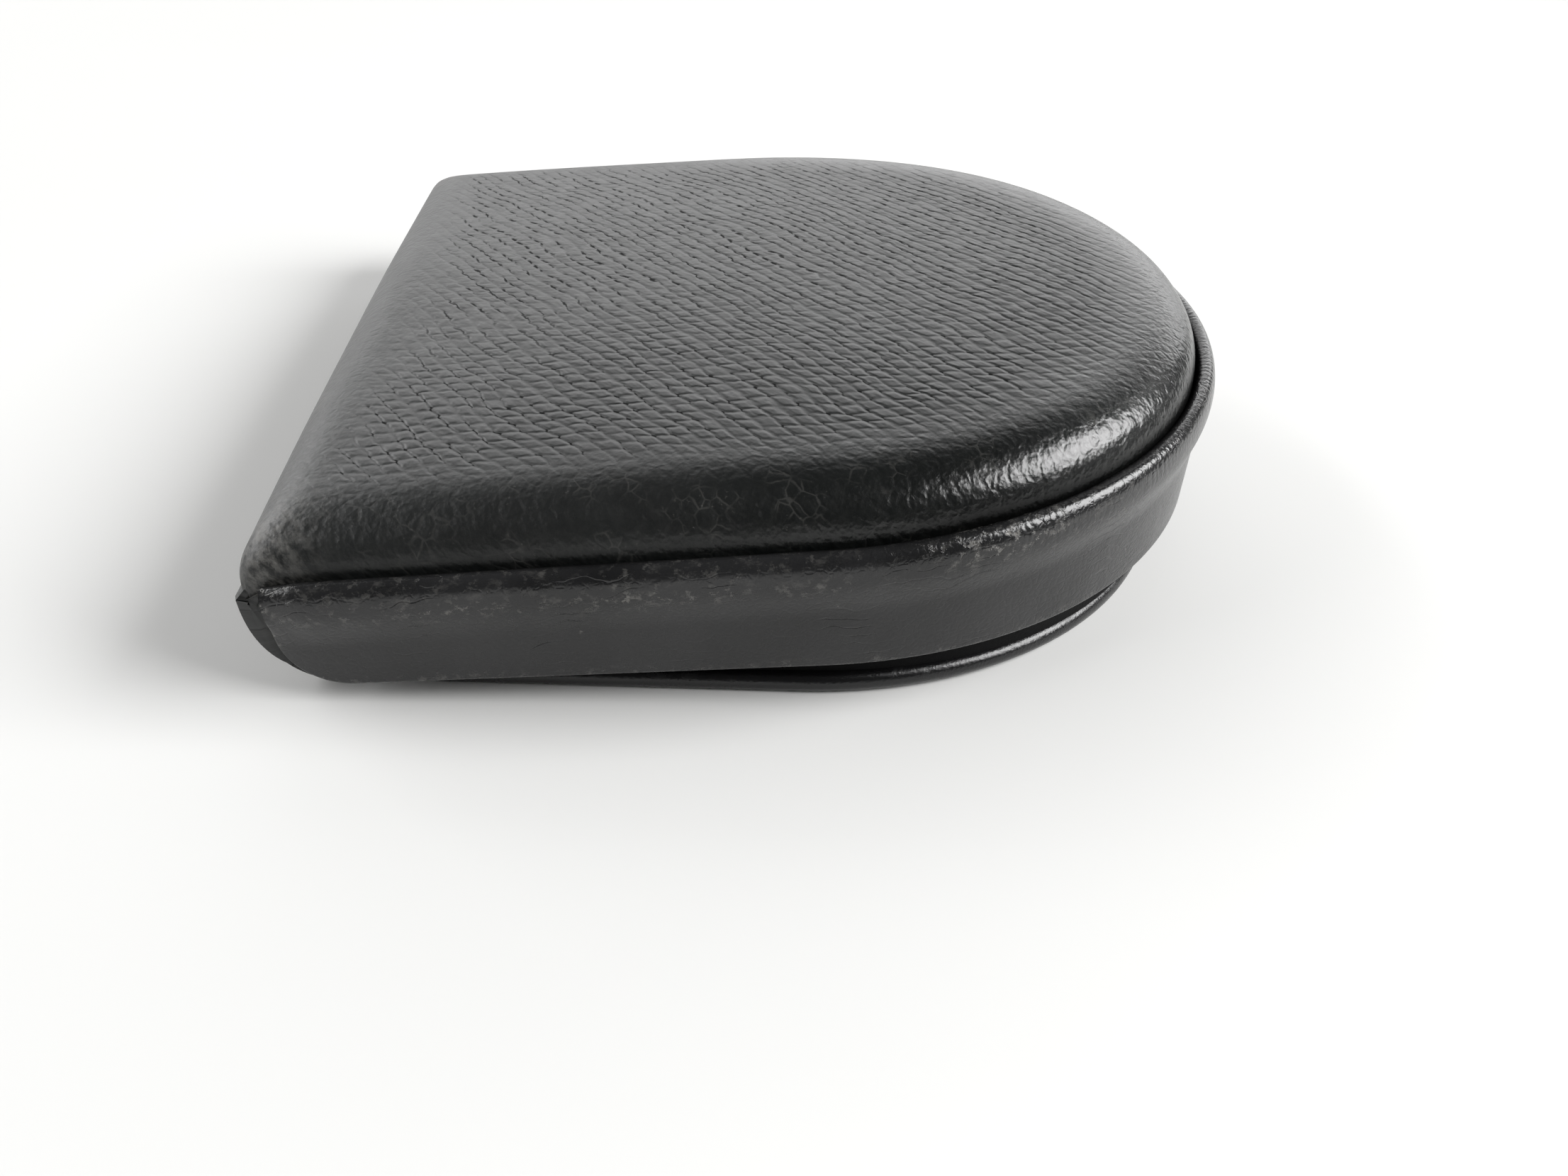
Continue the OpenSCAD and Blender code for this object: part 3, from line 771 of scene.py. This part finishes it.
def spine_path(s, count):
    """Outer line of the spine from under the top leather, down the back and round on to the sole.

    The back is a quarter of a superellipse from the upper fold to the sole, and above the fold the line
    leans in under the top leather.
    """
    fold = fold_height(s)
    tuck = np.linspace(1, 0, count // 4)[:-1]
    sweep = np.linspace(0, math.pi / 2, count)
    power = 2 / s.spine_square
    foot = np.linspace(s.spine_bend, SOLE_REAR, count // 6)[1:]
    reach = s.spine_bend + s.spine_bulge
    u = np.r_[s.spine_lean * tuck - s.spine_bulge, s.spine_bend - reach * np.cos(sweep) ** power, foot]
    z = np.r_[fold + s.spine_tuck * tuck, fold * (1 - np.sin(sweep) ** power), np.zeros(len(foot))]
    return u, z


def spine_half(s, name, material, keep):
    """Part of the spine leather: the outer line and a line one thickness inside it, drawn across the case.

    The leather is widest at the upper fold and narrows to the sole, and a little under the top leather. It
    is thicker along its sides, where it is turned in.
    """
    columns_across, foot_rise, hem_ramp = 161, 1.5 * MM, 0.4 * MM
    fold = fold_height(s)
    u, z = spine_path(s, 90)
    du, dz = np.gradient(u), np.gradient(z)
    size = np.hypot(du, dz)
    run = run_length(np.stack([u, z], 1))
    part = np.flatnonzero(keep(z))
    loop = np.r_[part, part[::-1]]
    inner = np.r_[np.zeros(len(part)), np.ones(len(part))]
    high = np.clip((z[loop] - foot_rise) / (fold - foot_rise), 0, 1)
    tucked = np.clip((z[loop] - fold) / s.spine_tuck, 0, 1)
    half = SPINE_HALF - s.spine_taper * (1 - high ** 0.8) - s.spine_narrow * tucked
    side = np.r_[-1, np.linspace(-0.997, 0.997, columns_across), 1]
    x = side[:, None] * half
    turned = np.clip((np.abs(x) - SPINE_HALF + s.spine_hem) / hem_ramp, 0, 1)
    thick = s.spine_skin + (s.spine_edge - s.spine_skin) * turned
    pinch = np.r_[0.4, np.ones(columns_across), 0.4][:, None]
    depth = thick * (0.5 + (inner - 0.5) * pinch)
    past = np.clip((np.abs(x) - half) / s.spine_wrap + 1, 0, 1)
    wrap = s.spine_wrap * (1 - np.sqrt(1 - past ** 2)) * high
    points = np.stack([x, SPINE_Y - u[loop] - wrap + dz[loop] / size[loop] * depth,
                       z[loop] + du[loop] / size[loop] * depth], -1)
    chart = np.stack([x, np.broadcast_to(-run[loop] - s.case_length / 2, x.shape)], -1).reshape(-1, 2)
    marks = {"worn": np.full(x.size, 0.5), "rub": np.zeros(x.size)}
    return make_piece(name, points.reshape(-1, 3), tube(*x.shape), material, chart, marks)


def sole_rings(s, inset, height, around):
    """Rings of the sole's outline, drawn in by their insets, at their heights, narrower at the spine."""
    least_corner = 0.6 * MM
    half = SOLE_HALF + s.sole_spread
    centre = SOLE_FRONT - s.sole_short - half
    rear = SOLE_REAR - s.sole_lap
    rings = []
    for i, z in zip(inset, height):
        x, u = horseshoe(half - i, centre, rear + i, max(s.sole_corner - i, least_corner), around)
        narrow = 1 - s.sole_taper / half * np.clip((centre - u) / centre, 0, 1)
        rings.append(np.stack([x * narrow, SPINE_Y - u, np.full(around, z)], -1))
    middle = [[0, SPINE_Y - centre, height[0]], [0, SPINE_Y - centre, height[-1]]]
    return np.vstack([np.concatenate(rings), middle])


def sole_piece(s, name, inset, height, material):
    """A closed piece from rings of the sole's outline, with a fan over its first and its last ring."""
    around, rows = 300, len(inset)
    ring = np.arange(around)
    count = rows * around
    faces = [quads(rows, around), fan(ring, count), fan((rows - 1) * around + ring, count + 1)]
    return make_piece(name, sole_rings(s, inset, height, around), faces, material, sharp=35)


def sole_sheet(s, material):
    """Sole leather: under the board, round the edge and over the margin, open inside for the board."""
    round_edge = SOLE_TOP / 2
    sweep = np.radians(np.linspace(-90, 90, 17))
    board_top = s.sole_skin + s.sole_board
    inset = np.r_[s.sole_margin, round_edge * (1 - np.cos(sweep)), s.sole_margin, s.sole_margin,
                  s.sole_skin, s.sole_skin, s.sole_margin]
    height = np.r_[0, round_edge * (1 + np.sin(sweep)), SOLE_TOP, board_top, board_top,
                   s.sole_skin, s.sole_skin]
    return sole_piece(s, "sole_sheet", inset, height, material)


def sole_core(s, material):
    """Board of the sole, which fills the space inside the sole leather."""
    gap = 0.02 * MM
    inset = np.array([s.sole_margin, s.sole_skin + gap, s.sole_skin + gap, s.sole_margin])
    low, high = s.sole_skin + gap, s.sole_skin + s.sole_board - gap
    return sole_piece(s, "sole_core", inset, np.array([low, low, high, high]), material)


# Operators

class CoinCaseOperator:
    """What the operators of the coin case share."""
    bl_options = {"REGISTER", "UNDO"}

    def settings(self, context):
        """The settings kept on the scene."""
        return context.scene.coin_case


class COINCASE_OT_lid_top(CoinCaseOperator, bpy.types.Operator):
    """Make the padded top of the lid in grained leather"""
    bl_idname = "coincase.lid_top"
    bl_label = "Padded Top"

    def execute(self, context):
        case = self.settings(context)
        leather = boarded_leather(case.finish)
        top = lid_top(case.sizes, leather)
        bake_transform(top)
        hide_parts("lid_cover")
        padding = lid_padding(case.sizes, soft_padding(case.finish))
        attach(padding, "lid")
        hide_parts("lid_foam")
        return {"FINISHED"}


class COINCASE_OT_band(CoinCaseOperator, bpy.types.Operator):
    """Make the beaded band round the lid"""
    bl_idname = "coincase.band"
    bl_label = "Beaded Band"

    def execute(self, context):
        case = self.settings(context)
        band = band_wrap(case.sizes, smooth_leather(case.finish))
        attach(band, "lid")
        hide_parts("band_leather")
        return {"FINISHED"}


class COINCASE_OT_spine(CoinCaseOperator, bpy.types.Operator):
    """Make the spine leather in two parts, split half way up its back"""
    bl_idname = "coincase.spine"
    bl_label = "Spine"

    def execute(self, context):
        case = self.settings(context)
        s = case.sizes
        leather = bpy.data.materials["boarded_leather"]
        half_way, overlap = 1.6 * MM, 0.2 * MM
        upper = spine_half(s, "spine_upper", leather, lambda z: z >= half_way)
        lower = spine_half(s, "spine_lower", leather, lambda z: z <= half_way + overlap)
        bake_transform(upper)
        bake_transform(lower)
        for piece in (upper, lower):
            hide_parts("spine_leather")
        return {"FINISHED"}


class COINCASE_OT_sole(CoinCaseOperator, bpy.types.Operator):
    """Make the sole leather with its rounded edge"""
    bl_idname = "coincase.sole"
    bl_label = "Sole"

    def execute(self, context):
        case = self.settings(context)
        sole = sole_sheet(case.sizes, polished_leather(case.finish, "sole_leather", 0.18, 1.0))
        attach(sole, "base")
        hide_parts("base_leather")
        board = sole_core(case.sizes, leather_board(case.finish))
        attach(board, "base")
        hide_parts("base_board")
        return {"FINISHED"}


class COINCASE_OT_inside(CoinCaseOperator, bpy.types.Operator):
    """Give the boards, linings, tray and pocket their finishes"""
    bl_idname = "coincase.inside"
    bl_label = "Inside Finishes"

    def execute(self, context):
        case = self.settings(context)
        lining = lining_leather(case.finish)
        board = bpy.data.materials["leather_board"]
        tray = dull_leather(case.finish)
        pocket = polished_leather(case.finish, "pocket_leather", 0.44, 0.3)
        finishes = {
            "lid_board": board, "lid_lining": lining, "band_core": board, "band_lining": lining,
            "spine_lining": lining, "floor_lining": lining, "tray_leather": tray,
            "tray_core": board, "tray_lining": lining, "pocket_leather": pocket,
            "pocket_lining_sheet": lining,
        }
        for name, material in finishes.items():
            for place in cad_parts[name].material_slots:
                place.link = "OBJECT"
                place.material = material
        return {"FINISHED"}


class COINCASE_OT_stage(CoinCaseOperator, bpy.types.Operator):
    """Set the floor, the light and the camera"""
    bl_idname = "coincase.stage"
    bl_label = "Stage"

    def execute(self, context):
        scene = context.scene
        stage = self.settings(context).stage
        scene.view_settings.view_transform = "Standard"
        self.make_floor(stage)
        self.make_sky(scene, stage)
        for name, (place, size) in LAMPS.items():
            self.make_lamp(name, getattr(stage, name), place, size)
        self.make_camera(scene, stage)
        return {"FINISHED"}

    def make_floor(self, stage):
        """A wide pale floor."""
        corners = FLOOR_HALF * np.array([[-1, -1, 0], [1, -1, 0], [1, 1, 0], [-1, 1, 0]])
        r = Recipe("pale_floor")
        place = r.place()
        tone = r.noise(place, 0.02, 2.0)
        shade = r.mix(tone, stage.floor_white, tinted(stage.floor_white, 1.02))
        r.finish(shade, 0.8 + 0.1 * tone, tone, 0.001, specular=0.2)
        mesh = bpy.data.meshes.new("floor")
        mesh.from_pydata(corners.tolist(), [], [(0, 1, 2, 3)])
        mesh.materials.append(r.material)
        floor = bpy.data.objects.new("floor", mesh)
        bpy.context.scene.collection.objects.link(floor)

    def make_sky(self, scene, stage):
        """Even light from all round."""
        world = bpy.data.worlds.new("even_light")
        world.use_nodes = True
        background = next(n for n in world.node_tree.nodes if n.type == "BACKGROUND")
        background.inputs["Color"].default_value = (1, 1, 1, 1)
        background.inputs["Strength"].default_value = stage.sky
        scene.world = world

    def make_lamp(self, name, power, place, size):
        """A rectangle of soft light that faces the case."""
        lamp = bpy.data.lights.new(name, "AREA")
        lamp.shape = "RECTANGLE"
        lamp.size, lamp.size_y = size
        lamp.energy = power
        holder = bpy.data.objects.new(name, lamp)
        holder.location = place
        holder.rotation_euler = (LAMPS_AIM - Vector(place)).to_track_quat("-Z", "Y").to_euler()
        bpy.context.scene.collection.objects.link(holder)

    def make_camera(self, scene, stage):
        """The camera at the place, angle and focal length of the photograph."""
        lens = bpy.data.cameras.new("photo_view")
        lens.sensor_width = 36.0
        lens.lens = lens.sensor_width * stage.focal_pixels / PHOTO_WIDTH
        lens.clip_start, lens.clip_end = 0.002, 10.0
        ahead = Vector((math.cos(stage.tilt) * math.cos(stage.heading),
                        -math.cos(stage.tilt) * math.sin(stage.heading), -math.sin(stage.tilt)))
        right = ahead.cross(Vector((0, 0, 1))).normalized()
        up = right.cross(ahead)
        side = right * math.cos(stage.roll) + up * math.sin(stage.roll)
        top = up * math.cos(stage.roll) - right * math.sin(stage.roll)
        camera = bpy.data.objects.new("photo_view", lens)
        turn = Matrix((side, top, -ahead)).transposed().to_4x4()
        camera.matrix_world = Matrix.Translation(Vector(stage.eye)) @ turn
        scene.collection.objects.link(camera)
        scene.camera = camera


class COINCASE_PT_pieces(bpy.types.Panel):
    """Buttons and settings of the coin case"""
    bl_idname = "COINCASE_PT_pieces"
    bl_label = "Coin Case"
    bl_space_type = "VIEW_3D"
    bl_region_type = "UI"
    bl_category = "Coin Case"

    def draw(self, context):
        for operator in PIECES:
            self.layout.operator(operator.bl_idname)
        case = context.scene.coin_case
        for group in (case.sizes, case.finish, case.stage):
            box = self.layout.box()
            for name in group.__annotations__:
                box.prop(group, name)


PIECES = (COINCASE_OT_lid_top, COINCASE_OT_band, COINCASE_OT_spine, COINCASE_OT_sole, COINCASE_OT_inside,
          COINCASE_OT_stage)
CLASSES = (CoinCaseSizes, CoinCaseFinish, CoinCaseStage, CoinCaseSettings, *PIECES, COINCASE_PT_pieces)


def register():
    """Registers the classes and the settings."""
    for cls in CLASSES:
        bpy.utils.register_class(cls)
    bpy.types.Scene.coin_case = bpy.props.PointerProperty(type=CoinCaseSettings)


def unregister():
    """Removes the settings and the classes."""
    del bpy.types.Scene.coin_case
    for cls in reversed(CLASSES):
        bpy.utils.unregister_class(cls)


def main():
    """Makes every piece and the stage."""
    register()
    bpy.ops.coincase.lid_top()
    bpy.ops.coincase.band()
    bpy.ops.coincase.spine()
    bpy.ops.coincase.sole()
    bpy.ops.coincase.inside()
    bpy.ops.coincase.stage()


if __name__ == "__main__":
    main()
